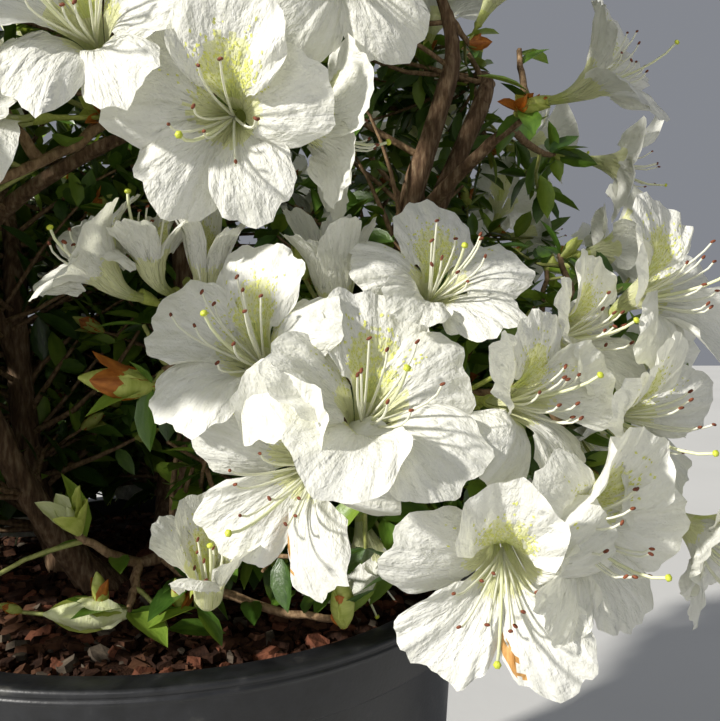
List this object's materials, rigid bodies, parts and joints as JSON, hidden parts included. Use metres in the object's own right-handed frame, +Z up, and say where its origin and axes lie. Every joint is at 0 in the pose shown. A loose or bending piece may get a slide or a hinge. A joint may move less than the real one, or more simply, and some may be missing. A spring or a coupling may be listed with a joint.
{
  "type": "azalea shrub in a pot",
  "caption": "White-flowering azalea shrub: stems fork into boughs that carry leafy masses of large ruffled blossoms, in a round black nursery pot with a flat lip.",
  "frame": {"origin": "centre of the pot's flat underside", "axes": "+Z up, -Y towards the open front of the crown that the picture shows, +X to the right there"},
  "size_m": [0.573, 0.5739, 0.7381],
  "materials": {
    "pot_plastic": "black moulded plastic, satin on the lip, dusty on the wall",
    "potting_bark": "dark moist bark chips",
    "bark": "grey-brown fissured bark",
    "foliage": "thin white petals and glossy mid-green leaves"
  },
  "bodies": {
    "root": {"pot": "pot_plastic", "potting_mix": "potting_bark", "stem_left": "bark", "stem_left_front": "bark", "stem_front": "bark", "stem_right_low": "bark", "stem_right_inner": "bark", "stem_right_outer": "bark", "stem_centre": "bark", "stem_back": "bark", "bough_front": "bark", "foliage_front": "foliage", "bough_low_front": "bark", "foliage_low_front": "foliage", "bough_upper_front": "bark", "foliage_upper_front": "foliage", "bough_upper_front_right": "bark", "foliage_upper_front_right": "foliage", "bough_left_front": "bark", "foliage_left_front": "foliage", "bough_left_back": "bark", "foliage_left_back": "foliage", "bough_back": "bark", "foliage_back": "foliage", "bough_right_back": "bark", "foliage_right_back": "foliage", "bough_right": "bark", "foliage_right": "foliage", "bough_upper_left_front": "bark", "foliage_upper_left_front": "foliage", "bough_upper_left_back": "bark", "foliage_upper_left_back": "foliage", "bough_upper_back": "bark", "foliage_upper_back": "foliage", "bough_upper_right_back": "bark", "foliage_upper_right_back": "foliage", "bough_top_left": "bark", "foliage_top_left": "foliage", "bough_top_right": "bark", "foliage_top_right": "foliage"}
  },
  "joints": []
}
